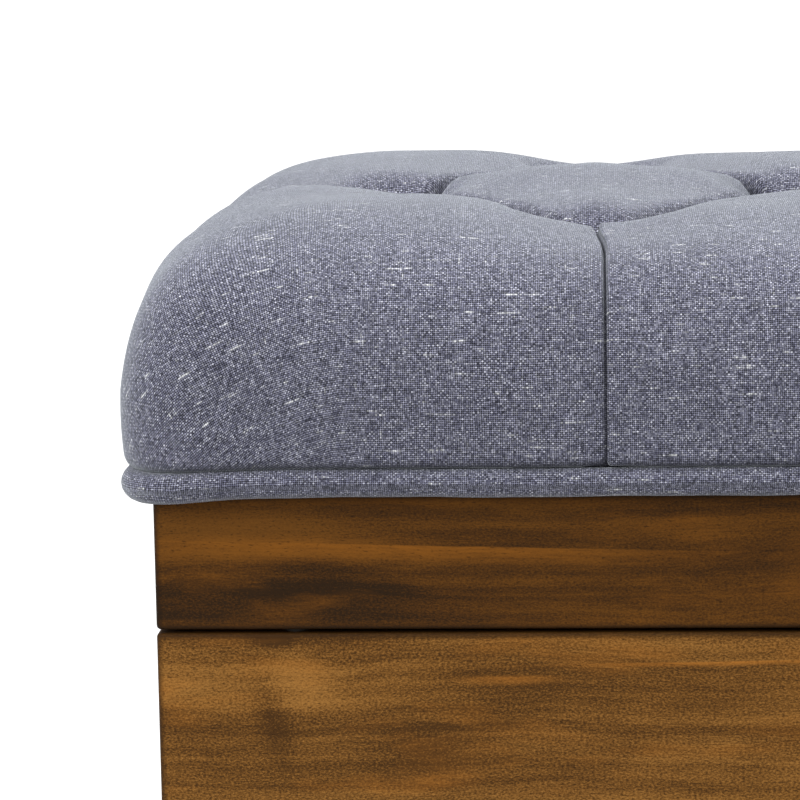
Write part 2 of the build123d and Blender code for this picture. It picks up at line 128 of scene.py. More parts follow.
def base_surface(q):
    """Points of the smooth cushion for places q on its unrolled cover."""
    core = np.stack([np.clip(q[:, 0], -core_x, core_x), np.clip(q[:, 1], -core_y, core_y)], 1)
    out = q - core
    d = np.hypot(out[:, 0], out[:, 1])
    away = out / np.maximum(d, 1e-9)[:, None]
    # the corner's outline is tighter than its roll, so the roll reaches further along the diagonal
    ax, ay = np.abs(away[:, 0]), np.abs(away[:, 1])
    gap = ROLL - CORNER
    along = (ax + ay) * gap
    arc = along + np.sqrt(np.maximum(along ** 2 - 2 * gap ** 2 + CORNER ** 2, 0))
    flat = ROLL / np.maximum(np.maximum(ax, ay), 1e-6)
    on_flat = np.minimum(ax, ay) / np.maximum(np.maximum(ax, ay), 1e-6) * ROLL <= gap
    outline = np.where(on_flat, flat, arc) / ROLL
    spread = np.clip(d / roll_length, 0, 1) ** 0.6
    stretch = np.where(d > 1e-9, 1 + (outline - 1) * spread, 1)
    end_share = np.where(d > 1e-9, away[:, 0] ** 2, 0.0)
    shape = []
    for length, reach, height in (long_profile, end_profile):
        place = d * length[-1] / full_length
        shape.append((np.interp(place, length, reach), np.interp(place, length, height)))
    reach = (shape[0][0] * (1 - end_share) + shape[1][0] * end_share) * stretch
    z = shape[0][1] * (1 - end_share) + shape[1][1] * end_share
    return np.column_stack([core + away * reach[:, None], z])


def surface_normals(q, step=0.4 * MM):
    """Outward normals of the smooth cushion, by small steps over its cover."""
    dx = base_surface(q + [step, 0]) - base_surface(q - [step, 0])
    dy = base_surface(q + [0, step]) - base_surface(q - [0, step])
    normal = np.cross(dx, dy)
    return normal / np.maximum(np.linalg.norm(normal, axis=1), 1e-12)[:, None]


# =====================================================================  the tufting

edge_reach = core_y + full_length
end_reach = core_x + full_length
PIT_DEPTH = crown - button_top + 4 * MM
PIT_FLOOR = 9 * MM                  # radius of a button's pit before its wall rises
PIT_WALL = 15 * MM                  # how far the wall spreads
TOP_VALLEY = 7.0 * MM               # depth of a pleat's valley midway between two buttons
TOP_WIDTH = 62 * MM                 # how far the valley spreads to each side
TOP_FOLD = (11.0 * MM, 3.6 * MM)    # depth and half width of the tight fold in it
EDGE_VALLEY = 5.0 * MM              # depth of the valley where a pleat runs over a long edge
END_VALLEY = 10.0 * MM              # and over an end
FACE_VALLEY = 3.0 * MM              # and further down, on the cushion's side
EDGE_WIDTHS = (80 * MM, 30 * MM)    # how far these valleys spread, at the edge and on the side
EDGE_FOLDS = (5.5 * MM, 3.6 * MM)   # depth of the tight fold, at the edge and on the side
EDGE_FOLD_WIDTHS = (2.0 * MM, 0.62 * MM)  # what its half width loses past the edge, and what is left
LIP = 0.8 * MM                      # how far one side of a fold stands over the other
LIP_WIDTH = 7 * MM
BLEND_POWER = 4.0                   # how sharply valleys and pits that meet stay apart
FRONT_SAG = 6.0 * MM                # how much lower the front pillows lie
FRONT_CORNER = 3.5 * MM             # how much less of it there is at the corners
BACK_SAG = 2.5 * MM                 # the same for the back, whose corners do not sag
NEAR_SAG = 5.0 * MM                 # how much lower the cover lies behind the front pillows' crest
STRAY = 3.2 * MM                    # how far a pleat strays sideways below the crest
WELT_SHADOW_WIDTH = 2.2 * MM               # width of the painted shadow line over the welt, where the cushion meets it
uneven = np.random.default_rng(7)


def pleat_lines():
    """Every pleat on the unrolled cover: start button, far end, and whether it runs to the welt."""
    lines = []
    for y in (-row_y, row_y):
        for x in outer_row:
            for mx in middle_row:
                if abs(abs(mx - x) - pitch / 2) < 1e-6:
                    lines.append(((x, y), (mx, 0.0), False))
            lines.append(((x, y), (x, math.copysign(edge_reach, y)), True))
    for x in (middle_row[0], middle_row[-1]):
        lines.append(((x, 0.0), (math.copysign(end_reach, x), 0.0), True))
    return lines


def smooth(value, low, high):
    share = np.clip((value - low) / (high - low), 0, 1)
    return share * share * (3 - 2 * share)


pleat_depth = {line[:2]: 1 + uneven.uniform(-0.12, 0.12) for line in pleat_lines()}
pleat_lip = {line[:2]: (1.0 if uneven.random() < 0.5 else -1.0) for line in pleat_lines()}


def tuft_drop(q):
    """How far the cover is drawn in at each place q by valleys, pits and folds, and how much painted shade
    its folds get.
    """
    total = np.zeros(len(q))
    fold = np.zeros(len(q))
    painted_shade = np.zeros(len(q))
    lip = np.zeros(len(q))
    for start, stop, to_welt in pleat_lines():
        line = np.subtract(stop, start)
        length = np.hypot(*line)
        line /= length
        rel = q - start
        along = rel @ line
        side = rel @ [line[1], -line[0]]
        clipped = np.clip(along, 0, length)
        away = np.hypot(rel[:, 0] - clipped * line[0], rel[:, 1] - clipped * line[1])
        if to_welt:
            # over the edge the valley gets shallow and its shoulders narrow to a plain tight fold
            over = smooth(clipped, 40 * MM, 105 * MM)
            low = smooth(clipped, 90 * MM, 0.95 * length)
            crest = EDGE_VALLEY if start[1] else END_VALLEY
            depth = (crest * (1 - over) + FACE_VALLEY * over) * (1 - 0.75 * low)
            width = EDGE_WIDTHS[0] * (1 - over) + EDGE_WIDTHS[1] * over
            fold_depth = (EDGE_FOLDS[0] * (1 - over) + EDGE_FOLDS[1] * over) * (1 - 0.35 * low)
            narrowed = 1 - smooth(clipped, 15 * MM, 45 * MM)
            fold_width = EDGE_FOLD_WIDTHS[0] * narrowed + EDGE_FOLD_WIDTHS[1]
        else:
            depth = TOP_VALLEY
            width = TOP_WIDTH
            fold_depth, fold_width = TOP_FOLD
        depth = depth * pleat_depth[(start, stop)]
        total += (depth * (1 - np.sin(np.clip(away / width, 0, 1) * math.pi / 2))) ** BLEND_POWER
        fold = np.maximum(fold, fold_depth * np.exp(-(away / fold_width) ** 2))
        # painted shade: darkens the colour in and beside each tight fold
        painted_shade = np.maximum(painted_shade, np.exp(-(away / (0.95 * fold_width + 0.1 * MM)) ** 2))
        beside = np.sign(side) * np.exp(-(away / LIP_WIDTH) ** 2)
        beside = np.where((along > 0) & (along < length), beside, 0.0)
        lip += LIP * pleat_lip[(start, stop)] * beside * smooth(clipped, 15 * MM, 30 * MM)
    for x, y in buttons:
        r = np.hypot(q[:, 0] - x, q[:, 1] - y)
        pit = PIT_DEPTH * np.exp(-(np.maximum(r - PIT_FLOOR, 0) / PIT_WALL) ** 1.35)
        total += pit ** BLEND_POWER
    return total ** (1 / BLEND_POWER) + fold - lip, painted_shade


wave_count = 14
wave_turn = uneven.uniform(0, math.pi, wave_count)
wave_length = uneven.uniform(45 * MM, 130 * MM, wave_count)
wave_phase = uneven.uniform(0, 2 * math.pi, wave_count)


def softness(q):
    """Slow, small unevenness of a hand-stuffed cover."""
    total = np.zeros(len(q))
    for turn, length, phase in zip(wave_turn, wave_length, wave_phase):
        place = q[:, 0] * math.cos(turn) + q[:, 1] * math.sin(turn)
        total += np.sin(2 * math.pi * place / length + phase)
    return 0.28 * MM * total / math.sqrt(wave_count / 2)


def corner_share(x, y):
    """1 at the cushion's lower corners, falling to 0 along the sides."""
    return np.exp(-(np.hypot(np.abs(x) - half_x, np.abs(y) - half_y) / (34 * MM)) ** 2)


def cushion_surface(q):
    """Where each place of the unrolled cover ends up on the tufted cushion, and how much painted shade it
    gets.
    """
    drop, painted_shade = tuft_drop(q)
    drop += softness(q) * smooth(edge_reach - np.abs(q[:, 1]), 0, 30 * MM) \
        * smooth(end_reach - np.abs(q[:, 0]), 0, 30 * MM)
    # the pillows along the sides lie lower than the middle, most of all along the front, where people sit
    rolled = np.hypot(np.maximum(np.abs(q[:, 0]) - core_x, 0), np.maximum(np.abs(q[:, 1]) - core_y, 0))
    over_edge = smooth(np.abs(q[:, 1]), 50 * MM, 125 * MM) * (1 - smooth(rolled, 40 * MM, 100 * MM))
    corner = smooth(np.abs(q[:, 0]), outer_row[-1], outer_row[-1] + 70 * MM)
    front = q[:, 1] < 0
    drop += over_edge * np.where(front, FRONT_SAG - FRONT_CORNER * corner, BACK_SAG * (1 - corner))
    # behind their crest the front pillows fall away, and the middle diamonds start low
    near = smooth(q[:, 1], -120 * MM, -85 * MM) * (1 - smooth(q[:, 1], -50 * MM, 15 * MM))
    drop += NEAR_SAG * near * (1 - smooth(np.abs(q[:, 0]), end_x - 10 * MM, end_x + 50 * MM))
    body = base_surface(q) - surface_normals(q) * drop[:, None]
    # each pleat over the long edges strays a little sideways just below the crest
    for start, stop, to_welt in pleat_lines():
        if to_welt and start[1] != 0.0:
            along = np.abs(q[:, 1]) - abs(start[1])
            same_side = np.sign(q[:, 1]) == math.copysign(1, start[1])
            beside = np.exp(-((q[:, 0] - start[0]) / (45 * MM)) ** 2) * same_side
            body[:, 0] += STRAY * smooth(along, 35 * MM, 75 * MM) * beside
    # at the corners the lower edge hangs a little below the board, with the welt
    at_corner = corner_share(body[:, 0], body[:, 1])
    body[:, 2] -= CORNER_DROOP * 0.7 * at_corner * (1 - smooth(body[:, 2], side_low, side_low + 32 * MM))
    body[:, 2] = np.minimum(body[:, 2], crown)
    # painted shadow: a dark line along the cover's lower edge, where it meets the welt
    welt_shadow = np.exp(-((full_length - rolled) / WELT_SHADOW_WIDTH) ** 2)
    return body, np.maximum(painted_shade, welt_shadow)


# =====================================================================  the cushion's mesh

def eased(count, bunch):
    """Values from 0 to 1 that bunch up at both ends."""
    u = np.linspace(0, 1, count + 1)
    return (1 - bunch) * u + bunch * (1 - np.cos(math.pi * u)) / 2


class Grid:
    """Collects points of the unrolled cover and faces between them, sharing points on the seams."""

    def __init__(self):
        self.points = []
        self.index = {}
        self.faces = []

    def point(self, x, y):
        key = (round(x, 7), round(y, 7))
        if key not in self.index:
            self.index[key] = len(self.points)
            self.points.append((x, y))
        return self.index[key]

    def row(self, points):
        return [self.point(x, y) for x, y in points]

    def strip(self, a, b):
        """Quads between two rows of the same length."""
        for i in range(len(a) - 1):
            face = [a[i], a[i + 1], b[i + 1], b[i]]
            face = [v for k, v in enumerate(face) if v != face[k - 1]]
            if len(face) > 2:
                self.faces.append(face)

    def zip_rows(self, a, b):
        """Triangles between two rows of different lengths."""
        i = j = 0
        while i < len(a) - 1 or j < len(b) - 1:
            if j == len(b) - 1 or (i < len(a) - 1 and (i + 1) / (len(a) - 1) <= (j + 1) / (len(b) - 1)):
                self.faces.append([a[i], a[i + 1], b[j]])
                i += 1
            else:
                self.faces.append([a[i], b[j + 1], b[j]])
                j += 1


def between(a, b, share):
    return (a[0] + (b[0] - a[0]) * share, a[1] + (b[1] - a[1]) * share)


def edge_points(a, b, shares):
    """Points from a to b. They are the same from either end, so that seams close."""
    return [between(a, b, s) for s in shares]


def corner_outline(x_from, sx, sy):
    """The cover's lower edge round one corner, from x_from on the long side to the end's middle."""
    straight = [(x, sy * edge_reach) for x in np.linspace(x_from, sx * core_x, 60)]
    turn = np.linspace(0, math.pi / 2, 240)[1:]
    arc = [(sx * (core_x + full_length * math.sin(t)), sy * (core_y + full_length * math.cos(t)))
           for t in turn]
    end = [(sx * end_reach, y) for y in np.linspace(sy * core_y, 0.0, 80)[1:]]
    line = np.array(straight + arc + end)
    real = base_surface(line)
    length = np.concatenate([[0], np.cumsum(np.linalg.norm(np.diff(real, axis=0), axis=1))])
    return line, length / length[-1]


def cushion_grid(fine):
    """The cover laid out flat: diamonds between the buttons, and strips from them to the welt."""
    grid = Grid()
    side = eased(fine, 0.82)
    down = eased(int(2.2 * fine), 0.7)
    # diamonds
    for x in outer_row:
        a, b = (x, -row_y), (x - pitch / 2, 0.0)
        c, d = (x + pitch / 2, 0.0), (x, row_y)
        rows = []
        for s in side:
            start, stop = between(a, b, s), between(c, d, s)
            rows.append(grid.row(edge_points(start, stop, side)))
        for upper, lower in zip(rows, rows[1:]):
            grid.strip(upper, lower)
    rim = {}
    for sy in (-1, 1):
        # front and back: between neighbouring outer buttons, round the middle button
        for x in outer_row[:-1]:
            a, m, b = (x, sy * row_y), (x + pitch / 2, 0.0), (x + pitch, sy * row_y)
            inner = edge_points(a, m, side) + edge_points(m, b, side)[1:]
            shares = np.concatenate([side * 0.5, 0.5 + side[1:] * 0.5])
            shares = 0.35 * shares + 0.65 * eased(2 * fine, 0.82)
            outer = [(x + pitch * s, sy * edge_reach) for s in shares]
            rows = [grid.row([between(i, o, t) for i, o in zip(inner, outer)]) for t in down]
            for upper, lower in zip(rows, rows[1:]):
                grid.strip(upper, lower)
            rim[(sy, x)] = rows[-1]
        # corners: from the outermost long-side pleat round to the end pleat
        for sx in (-1, 1):
            a, b = (sx * outer_row[-1], sy * row_y), (sx * middle_row[-1], 0.0)
            count = 4 * fine
            shares = eased(count, 0.7)
            line, length = corner_outline(a[0], sx, sy)
            outer = np.column_stack([np.interp(shares, length, line[:, axis]) for axis in (0, 1)])
            outer[0], outer[-1] = line[0], line[-1]
            inner = edge_points(a, b, eased(count, 0.82))
            rows = [grid.row([between(i, o, t) for i, o in zip(inner, outer)]) for t in down[1:]]
            grid.zip_rows(grid.row(edge_points(a, b, side)), rows[0])
            for upper, lower in zip(rows, rows[1:]):
                grid.strip(upper, lower)
            rim[(sy, sx, "corner")] = rows[-1]
    loop = []
    for x in outer_row[:-1]:
        loop += rim[(-1, x)][:-1]
    loop += rim[(-1, 1, "corner")][:-1]
    loop += rim[(1, 1, "corner")][::-1][:-1]
    for x in outer_row[:-1][::-1]:
        loop += rim[(1, x)][::-1][:-1]
    loop += rim[(1, -1, "corner")][:-1]
    loop += rim[(-1, -1, "corner")][::-1][:-1]
    return grid, loop


def rounded_rect_point(direction, reach_x, reach_y, radius):
    """Where rays from the middle of a rounded rectangle meet it; direction is n by 2."""
    ux, uy = np.abs(direction[:, 0]), np.abs(direction[:, 1])
    t = np.minimum(reach_x / np.maximum(ux, 1e-9), reach_y / np.maximum(uy, 1e-9))
    px, py = ux * t, uy * t
    cx, cy = reach_x - radius, reach_y - radius
    corner = (px > cx) & (py > cy)
    b = ux * cx + uy * cy
    a = ux ** 2 + uy ** 2
    disc = np.maximum(b ** 2 - a * (cx ** 2 + cy ** 2 - radius ** 2), 0)
    t = np.where(corner, (b + np.sqrt(disc)) / a, t)
    return direction * t[:, None]


def lay_out_cloth(piece, places):
    """Stores where each vertex lies on the flat cloth, which the weave follows."""
    attribute = piece.data.attributes.new("cloth", "FLOAT_VECTOR", "POINT")
    attribute.data.foreach_set("vector", np.array(places, dtype=np.float32).ravel())


def build_cushion():
    """The whole cover: tufted on top, wrapped round the seat board and turned in beneath it."""
    fine = 34
    grid, loop = cushion_grid(fine)
    q = np.array(grid.points)
    body, painted_shade = cushion_surface(q)
    painted_shade = list(painted_shade)
    verts = [tuple(v) for v in body]
    faces = list(grid.faces)
    cloth = [(x, y, 0.0) for x, y in q]
    # under the edge the cover wraps the seat board and is turned in beneath it
    edge = body[loop][:, :2]
    reach_x, reach_y = board_high[0], board_high[1]
    wrap = 0.9 * MM                 # the cover's outside, past the board's edge
    turned_in = 25 * MM             # how far it is turned in under the board
    clear = 0.1 * MM                # what it keeps from the board and the rails
    under = rail_high[2] + clear
    steps = [(wrap, side_low), (wrap, under), (-turned_in, under), (-turned_in, under + 0.7 * MM),
             (clear, under + 0.7 * MM), (clear, board_high[2] + clear)]
    previous = list(loop)
    for grow, z in steps:
        ring = rounded_rect_point(edge, reach_x + grow, reach_y + grow, 30 * MM + grow)
        start = len(verts)
        verts += [(x, y, z) for x, y in ring]
        cloth += [(q[v][0], q[v][1], 0.01) for v in loop]
        # painted shade on the cover where it wraps under the edge and below the board
        painted_shade += [0.6] * len(loop)
        current = list(range(start, start + len(loop)))
        for i in range(len(loop)):
            j = (i + 1) % len(loop)
            faces.append([previous[i], previous[j], current[j], current[i]])
        previous = current
    verts.append((0, 0, board_high[2] + clear))
    cloth.append((0, 0, 0.01))
    painted_shade.append(0.0)
    for i in range(len(loop)):
        faces.append([previous[i], previous[(i + 1) % len(loop)], len(verts) - 1])
    piece = new_object("seat_cushion", verts, faces)
    lay_out_cloth(piece, cloth)
    # the painted shade, stored on the vertices for the fabric's colour
    attribute = piece.data.attributes.new("painted_shade", "FLOAT", "POINT")
    attribute.data.foreach_set("value", np.array(painted_shade, dtype=np.float32))
    return piece


cushion = build_cushion()
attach(cushion, "lid")
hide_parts("seat_cover", "seat_foam")

# =====================================================================  shader helpers

class Shader:
    """A material with a Principled shader, and short calls that add nodes to it."""

    def __init__(self, name, roughness=0.5):
        self.material = bpy.data.materials.new(name)
        self.material.use_nodes = True
        self.tree = self.material.node_tree
        self.shader = self.tree.nodes["Principled BSDF"]
        self.shader.inputs["Roughness"].default_value = roughness

    def put(self, socket, value):
        if isinstance(value, bpy.types.NodeSocket):
            self.tree.links.new(value, socket)
        elif value is not None:
            socket.default_value = value

    def node(self, kind, **settings):
        made = self.tree.nodes.new(kind)
        for key, value in settings.items():
            setattr(made, key, value)
        return made

    def math(self, operation, *values):
        made = self.node("ShaderNodeMath", operation=operation)
        for socket, value in zip(made.inputs, values):
            self.put(socket, value)
        return made.outputs[0]

    def add(self, a, b):
        return self.math("ADD", a, b)

    def times(self, a, b):
        return self.math("MULTIPLY", a, b)

    def coordinates(self, output="Object"):
        return self.node("ShaderNodeTexCoord").outputs[output]

    def split(self, vector):
        made = self.node("ShaderNodeSeparateXYZ")
        self.put(made.inputs[0], vector)
        return made.outputs[0], made.outputs[1], made.outputs[2]

    def vector(self, x, y, z=0.0):
        made = self.node("ShaderNodeCombineXYZ")
        for socket, value in zip(made.inputs, (x, y, z)):
            self.put(socket, value)
        return made.outputs[0]

    def stretched(self, x, y, z, by):
        """Coordinates scaled by one number along each axis."""
        return self.vector(*(self.times(value, scale) for value, scale in zip((x, y, z), by)))

    def noise(self, vector, scale=1.0, detail=3.0, rough=0.55, warp=0.0):
        made = self.node("ShaderNodeTexNoise")
        self.put(made.inputs["Vector"], vector)
        made.inputs["Scale"].default_value = scale
        made.inputs["Detail"].default_value = detail
        made.inputs["Roughness"].default_value = rough
        made.inputs["Distortion"].default_value = warp
        return made.outputs["Fac"]

    def random(self, vector):
        made = self.node("ShaderNodeTexWhiteNoise", noise_dimensions="3D")
        self.put(made.inputs["Vector"], vector)
        return made.outputs["Value"]

    def between(self, value, low, high, out_low=0.0, out_high=1.0, smooth=False):
        made = self.node("ShaderNodeMapRange", interpolation_type="SMOOTHSTEP" if smooth else "LINEAR")
        for socket, item in zip(made.inputs, (value, low, high, out_low, out_high)):
            self.put(socket, item)
        return made.outputs[0]

    def ramp(self, value, stops):
        made = self.node("ShaderNodeValToRGB")
        self.put(made.inputs[0], value)
        elements = made.color_ramp.elements
        while len(elements) < len(stops):
            elements.new(0.5)
        for element, (place, colour) in zip(elements, stops):
            element.position = place
            element.color = (*colour, 1)
        return made.outputs[0]

    def mix(self, share, a, b, blend="MIX"):
        made = self.node("ShaderNodeMix", data_type="RGBA", blend_type=blend)
        self.put(made.inputs[0], share)
        for socket, value in ((made.inputs[6], a), (made.inputs[7], b)):
            self.put(socket, (*value, 1) if isinstance(value, tuple) else value)
        return made.outputs[2]

    def shaded(self, colour, by):
        """The colour made darker or brighter by one number at each place."""
        return self.mix(1.0, colour, self.vector(by, by, by), "MULTIPLY")

    def stored(self, name, output):
        """A value stored on the mesh's vertices."""
        made = self.node("ShaderNodeAttribute", attribute_type="GEOMETRY", attribute_name=name)
        return made.outputs[output]

    def bump(self, height, strength, distance):
        made = self.node("ShaderNodeBump")
        made.inputs["Strength"].default_value = strength
        made.inputs["Distance"].default_value = distance
        self.put(made.inputs["Height"], height)
        self.put(self.shader.inputs["Normal"], made.outputs[0])

    def colour(self, value):
        self.put(self.shader.inputs["Base Color"], (*value, 1) if isinstance(value, tuple) else value)

    def set(self, **values):
        for key, value in values.items():
            self.put(self.shader.inputs[key.replace("_", " ")], value)


# =====================================================================  fabric

THREAD = 0.82 * MM                  # spacing of the threads
WEFT_TONES = [(0.25, (0.100, 0.102, 0.150)), (0.50, (0.225, 0.228, 0.300)),
              (0.72, (0.41, 0.416, 0.485)), (0.92, (0.59, 0.598, 0.64))]
WARP_TONES = [(0.25, (0.074, 0.075, 0.115)), (0.50, (0.155, 0.157, 0.215)),
              (0.74, (0.28, 0.284, 0.345)), (0.94, (0.43, 0.436, 0.48))]
SLUB = (0.68, 0.69, 0.70)
# colour of the painted shade in folds, along the welt and under the edge
PAINTED_SHADE_COLOUR = (0.012, 0.012, 0.018)


def linen():
    """A plain weave of slate and pale threads with white slubs, laid out by the cloth attribute."""
    s = Shader("linen", 0.85)
    cloth = s.stored("cloth", "Vector")
    x, y, _ = s.split(cloth)
    drift = s.noise(cloth, 60.0, 2.0)
    u = s.add(s.times(x, 1 / THREAD), s.times(drift, 1.6))
    v = s.add(s.times(y, 1 / THREAD), s.times(drift, 2.4))
    row, column = s.math("FLOOR", v), s.math("FLOOR", u)
    across_row, across_column = s.math("FRACT", v), s.math("FRACT", u)

    def wave(place, thread, sign):
        turn = s.times(s.add(place, thread), math.pi)
        return s.times(s.math("SINE", turn), sign)

    def round_top(place):
        return s.math("SINE", s.times(place, math.pi))

    weft = s.add(s.times(wave(u, row, 1.0), 0.55), round_top(across_row))
    warp = s.add(s.times(wave(v, column, -1.0), 0.55), round_top(across_column))
    weft_up = s.between(s.math("SUBTRACT", weft, warp), -0.12, 0.12)
    height = s.math("MAXIMUM", weft, warp)

    def slub(along, thread, seed, limit, length):
        """1 where a thread is thick and pale, for a stretch of about the given length."""
        place = s.vector(s.times(along, THREAD / length), s.times(thread, 17.31), seed)
        return s.between(s.noise(place, 1.0, 1.0, 0.4), limit, limit + 0.07)

    def thick(along, thread, seed, length):
        """Slow change of tone along one thread."""
        place = s.vector(s.times(along, THREAD / length), s.times(thread, 9.73), seed)
        return s.noise(place, 1.0, 2.0, 0.6)

    speck = s.times(s.random(s.vector(row, column, 3.0)), 0.38)
    weft_tone = s.add(s.times(thick(u, row, 3.0, 5 * MM), 0.50),
                      s.times(s.random(s.vector(row, 1.0)), 0.10))
    warp_tone = s.add(s.times(thick(v, column, 8.0, 5 * MM), 0.50),
                      s.times(s.random(s.vector(column, 2.0)), 0.08))
    weft_tone, warp_tone = s.add(weft_tone, speck), s.add(warp_tone, speck)
    weft_colour, warp_colour = s.ramp(weft_tone, WEFT_TONES), s.ramp(warp_tone, WARP_TONES)
    broken = s.between(s.random(s.vector(column, row, 9.0)), 0.15, 0.50)
    weft_slub = s.times(slub(u, row, 5.0, 0.665, 13 * MM), broken)
    warp_slub = s.times(slub(v, column, 6.0, 0.718, 9 * MM), broken)
    weft_colour = s.mix(s.times(weft_slub, 0.85), weft_colour, SLUB)
    warp_colour = s.mix(s.times(warp_slub, 0.60), warp_colour, SLUB)
    shown = s.math("SUBTRACT", s.add(weft_up, s.times(weft_slub, 0.7)), s.times(warp_slub, 0.6))
    colour = s.mix(s.between(shown, 0.0, 1.0), warp_colour, weft_colour)
    shade = s.between(height, 0.60, 1.32, 0.0, 1.38)
    shade = s.math("MAXIMUM", shade, s.times(weft_slub, 0.7))
    colour = s.shaded(colour, shade)
    patch = s.between(s.noise(cloth, 18.0, 3.0), 0.3, 0.7, 0.93, 1.07)
    colour = s.shaded(colour, patch)
    # fibres stand up unevenly, whichever way the threads run
    nub = s.between(s.noise(s.coordinates(), 950.0, 2.0, 0.6), 0.34, 0.66, 0.42, 1.62)
    colour = s.shaded(colour, nub)
    # painted shade: the fabric darkened in its folds, along the welt and under the edge
    painted_shade = s.stored("painted_shade", "Fac")
    colour = s.mix(s.times(painted_shade, 0.86), colour, PAINTED_SHADE_COLOUR)
    s.colour(colour)
    s.set(Sheen_Weight=0.85, Sheen_Roughness=0.38, Sheen_Tint=(0.86, 0.92, 0.97, 1),
          Specular_IOR_Level=0.15)
    s.bump(height, 0.55, 0.25 * MM)
    return s.material


def cambric():
    """Thin black lining cloth, with a faint square weave."""
    s = Shader("lining_cloth", 0.9)
    x, y, _ = s.split(s.coordinates())
    threads = s.times(s.math("SINE", s.times(x, 5200.0)), s.math("SINE", s.times(y, 5200.0)))
    cloud = s.noise(s.coordinates(), 40.0, 4.0)
    tone = s.add(s.times(threads, 0.12), cloud)
    s.colour(s.ramp(tone, [(0.3, (0.012, 0.012, 0.014)), (0.75, (0.035, 0.035, 0.04))]))
    s.set(Sheen_Weight=0.25, Specular_IOR_Level=0.2)
    s.bump(threads, 0.3, 0.2 * MM)
    return s.material


# =====================================================================  wood

def wood(name, node, dark, middle, light, ember, speckle, rough, marks=(), streaks=()):
    """Stained wood: clouds and bands drawn out along the grain, short dark pores, and dark edges painted as
    shade on their eased corners.

    The grain runs along the board. marks are soft spots of colour and streaks are thin lines of figure.
    """
    low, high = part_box(node)
    along = 0 if high[0] - low[0] > high[1] - low[1] else 1
    s = Shader(name, rough)
    place = s.coordinates()
    x, y, z = s.split(place)
    u, w = (x, y) if along == 0 else (y, x)
    bend = s.noise(s.vector(s.times(u, 5.0), s.times(z, 9.0), w), 1.0, 3.0)
    bend = s.times(s.math("SUBTRACT", bend, 0.5), 0.020)
    v = s.add(z, bend)
    clouds = s.noise(s.stretched(u, v, w, (9.0, 46.0, 20.0)), 1.0, 6.0, 0.62, 0.3)
    bands = s.noise(s.stretched(u, v, w, (4.0, 170.0, 60.0)), 1.0, 5.0, 0.6, 0.2)
    grain = s.noise(s.stretched(u, v, w, (60.0, 700.0, 700.0)), 1.0, 4.0, 0.72)
    fleck = s.noise(s.stretched(u, v, w, (900.0, 1500.0, 1500.0)), 1.0, 2.0, 0.7)
    pores = s.noise(s.stretched(u, v, w, (420.0, 1400.0, 1400.0)), 1.0, 1.0, 0.5)
    tone = s.add(s.times(clouds, 0.56), s.times(bands, 0.44))
    tone = s.add(tone, s.times(s.math("SUBTRACT", grain, 0.5), 0.24))
    tone = s.add(tone, s.times(s.math("SUBTRACT", fleck, 0.5), speckle))
    for centre, size_u, size_v, tilt, amount in marks:
        tone = s.add(tone, s.times(spot(s, u, z, centre, size_u, size_v, tilt, clouds), amount))
    brightest = tuple(min(1.0, 1.35 * c) for c in light)
    colour = s.ramp(tone, [(0.33, dark), (0.50, middle), (0.65, light), (0.88, brightest)])
    warm = s.noise(s.vector(s.times(u, 13.0), s.times(v, 48.0), 7.0), 1.0, 3.0, 0.55)
    warm = s.times(s.between(warm, 0.52, 0.78, 0.0, 0.5), s.between(grain, 0.3, 0.6, 0.4, 1.0))
    colour = s.mix(warm, colour, ember)
    for (su, sv), length, above, below, slope, amount in streaks:
        line = s.math("SUBTRACT", s.add(z, s.times(s.math("SUBTRACT", u, su), slope)), sv)
        line = s.add(line, s.times(bend, 0.12))
        edge = s.times(s.between(line, above, -above * 0.3, 0.0, 1.0, True),
                       s.between(line, -below, 0.0, 0.0, 1.0, True))
        reach = s.math("DIVIDE", s.math("SUBTRACT", u, su), length)
        fade = s.math("EXPONENT", s.times(s.times(reach, reach), -1.0))
        rough_edge = s.between(grain, 0.25, 0.6, 0.45, 1.0)
        colour = s.mix(s.times(s.times(s.times(edge, fade), rough_edge), amount), colour, ember)
    pore = s.between(pores, 0.60, 0.74)
    colour = s.mix(s.times(pore, 0.55), colour, tuple(0.35 * c for c in dark))
    # painted shade along the eased edges, where their rounded corners turn from the light
    for value, low_end, high_end in ((u, low[along], high[along]), (z, low[2], high[2])):
        near = s.math("MINIMUM", s.math("SUBTRACT", value, low_end), s.math("SUBTRACT", high_end, value))
        near = s.add(near, s.times(s.math("SUBTRACT", clouds, 0.5), 1.5 * MM))
        near = s.between(near, 0.5 * MM, 3.2 * MM, 0.82, 0.0, True)
        colour = s.mix(near, colour, tuple(0.55 * c for c in dark))
    s.colour(colour)
    s.put(s.shader.inputs["Roughness"], s.between(grain, 0.2, 0.8, rough - 0.07, rough + 0.1))
    s.set(Specular_IOR_Level=0.07)
    s.bump(s.math("SUBTRACT", s.times(grain, 0.6), pore), 0.25, 0.15 * MM)
    return s.material


def spot(s, u, v, centre, size_u, size_v, tilt, rag):
    """A soft ragged spot of the figure, 1 in its middle."""
    du = s.math("SUBTRACT", u, centre[0])
    dv = s.math("SUBTRACT", v, centre[1])
    dv = s.add(dv, s.times(du, tilt))
    du = s.times(du, 1 / size_u)
    dv = s.add(s.times(dv, 1 / size_v), s.times(s.math("SUBTRACT", rag, 0.5), 2.2))
    far = s.add(s.times(du, du), s.times(dv, dv))
    return s.math("EXPONENT", s.times(far, -1.0))


